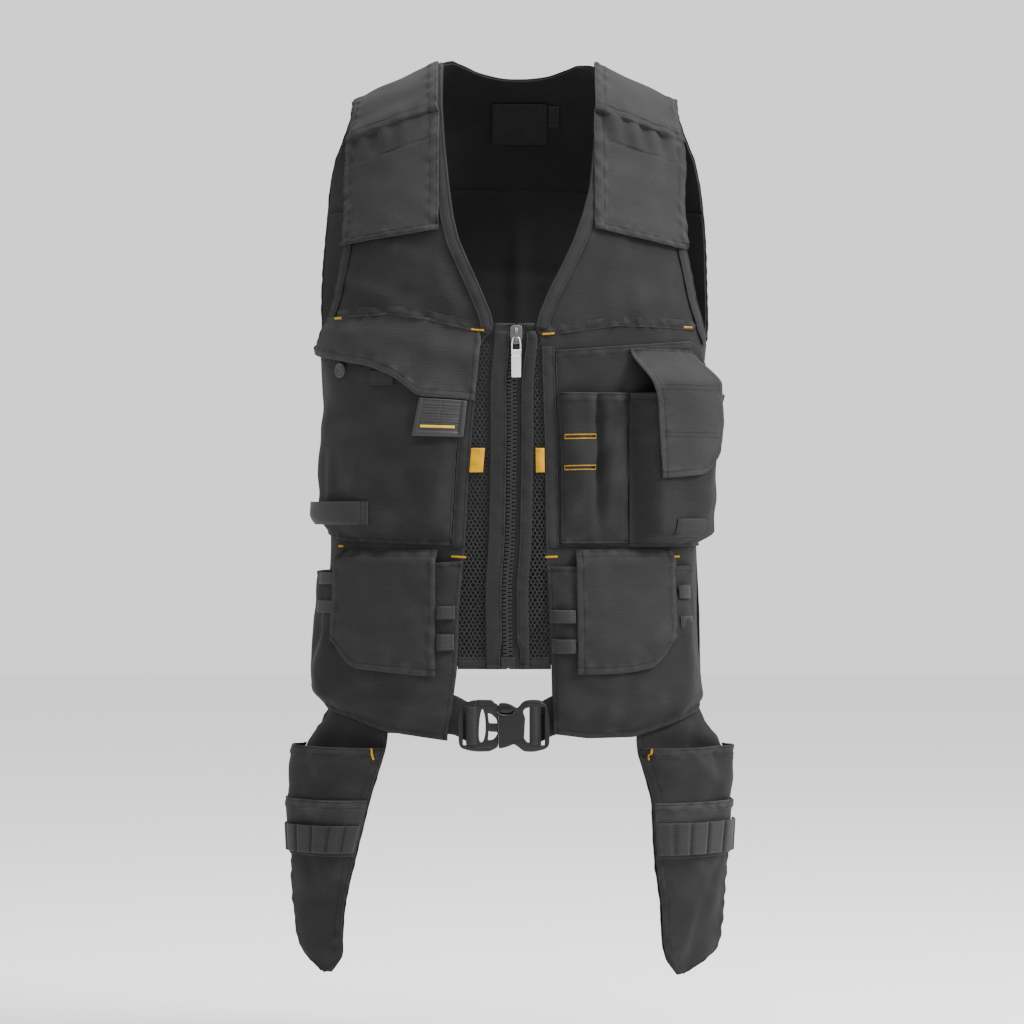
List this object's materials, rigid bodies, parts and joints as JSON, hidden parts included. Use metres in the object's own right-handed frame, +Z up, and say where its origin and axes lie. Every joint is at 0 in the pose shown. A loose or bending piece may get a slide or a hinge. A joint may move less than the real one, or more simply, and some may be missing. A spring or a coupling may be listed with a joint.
{
  "type": "utility work vest",
  "caption": "Sleeveless zip-front tool vest with cargo, phone and pen pockets, shoulder flaps, two hanging holsters and a belt with a side-release buckle.",
  "frame": {"origin": "middle of the shoulder line, where the vest hangs on the wearer's shoulders", "axes": "+Z up, the wearer faces -Y, +X is the wearer's left side"},
  "size_m": [0.4558, 0.2557, 0.9312],
  "materials": {
    "canvas": "dark charcoal woven work cloth, matt",
    "reinforced_cloth": "dark ribbed reinforcing cloth, matt",
    "inner_cloth": "black plain inner cloth",
    "mesh_cloth": "black open net",
    "binding": "black cloth binding",
    "webbing": "black woven webbing",
    "yellow_tape": "amber yellow tape",
    "black_plastic": "black moulded plastic, half matt",
    "grey_rubber": "dark grey moulded rubber, matt",
    "grey_metal": "grey plated metal"
  },
  "bodies": {
    "vest": {"right_front_panel": "canvas", "left_front_panel": "canvas", "back_yoke": "reinforced_cloth", "back_panel": "canvas", "neck_binding": "binding", "right_armhole_binding": "binding", "left_armhole_binding": "binding", "right_shoulder_flap": "reinforced_cloth", "left_shoulder_flap": "reinforced_cloth", "zip_chain": "black_plastic", "right_zip_tape": "webbing", "right_zip_placket": "canvas", "right_mesh_panel": "mesh_cloth", "left_zip_tape": "webbing", "left_zip_placket": "canvas", "left_mesh_panel": "mesh_cloth", "zip_slider": "grey_metal", "zip_box": "black_plastic", "right_yellow_tab": "yellow_tape", "left_yellow_tab": "yellow_tape", "right_pocket_facing": "binding", "left_pocket_facing": "binding", "right_chest_pocket": "canvas", "right_chest_flap": "reinforced_cloth", "rubber_tab": "grey_rubber", "snap_button": "grey_metal", "right_webbing_loop": "webbing", "left_backing_pocket": "canvas", "left_pen_pocket": "canvas", "left_phone_pocket": "canvas", "left_phone_flap": "reinforced_cloth", "left_blank_label": "webbing", "right_lower_pocket": "canvas", "left_lower_pocket": "canvas", "right_lower_flap": "reinforced_cloth", "left_lower_flap": "reinforced_cloth", "right_tool_loop_upper": "webbing", "right_tool_loop_lower": "webbing", "left_tool_loop_upper": "webbing", "left_tool_loop_lower": "webbing", "right_holster_back": "canvas", "right_holster_pouch": "canvas", "right_holster_sleeve": "reinforced_cloth", "right_holster_webbing": "webbing", "left_holster_back": "canvas", "left_holster_pouch": "canvas", "left_holster_sleeve": "reinforced_cloth", "left_holster_webbing": "webbing", "right_belt_webbing": "webbing", "left_belt_webbing": "webbing", "buckle_prong": "black_plastic", "buckle_socket": "black_plastic", "neck_label": "inner_cloth"},
    "zip_pull": {"zip_pull": "grey_metal"}
  },
  "joints": [
    {"name": "zip_pull_swing", "type": "hinge", "parent": "vest", "child": "zip_pull", "pos_m": [0.00138, -0.13018, -0.29093], "axis": [-1, 0, 0], "range_deg": [0, 165]}
  ]
}
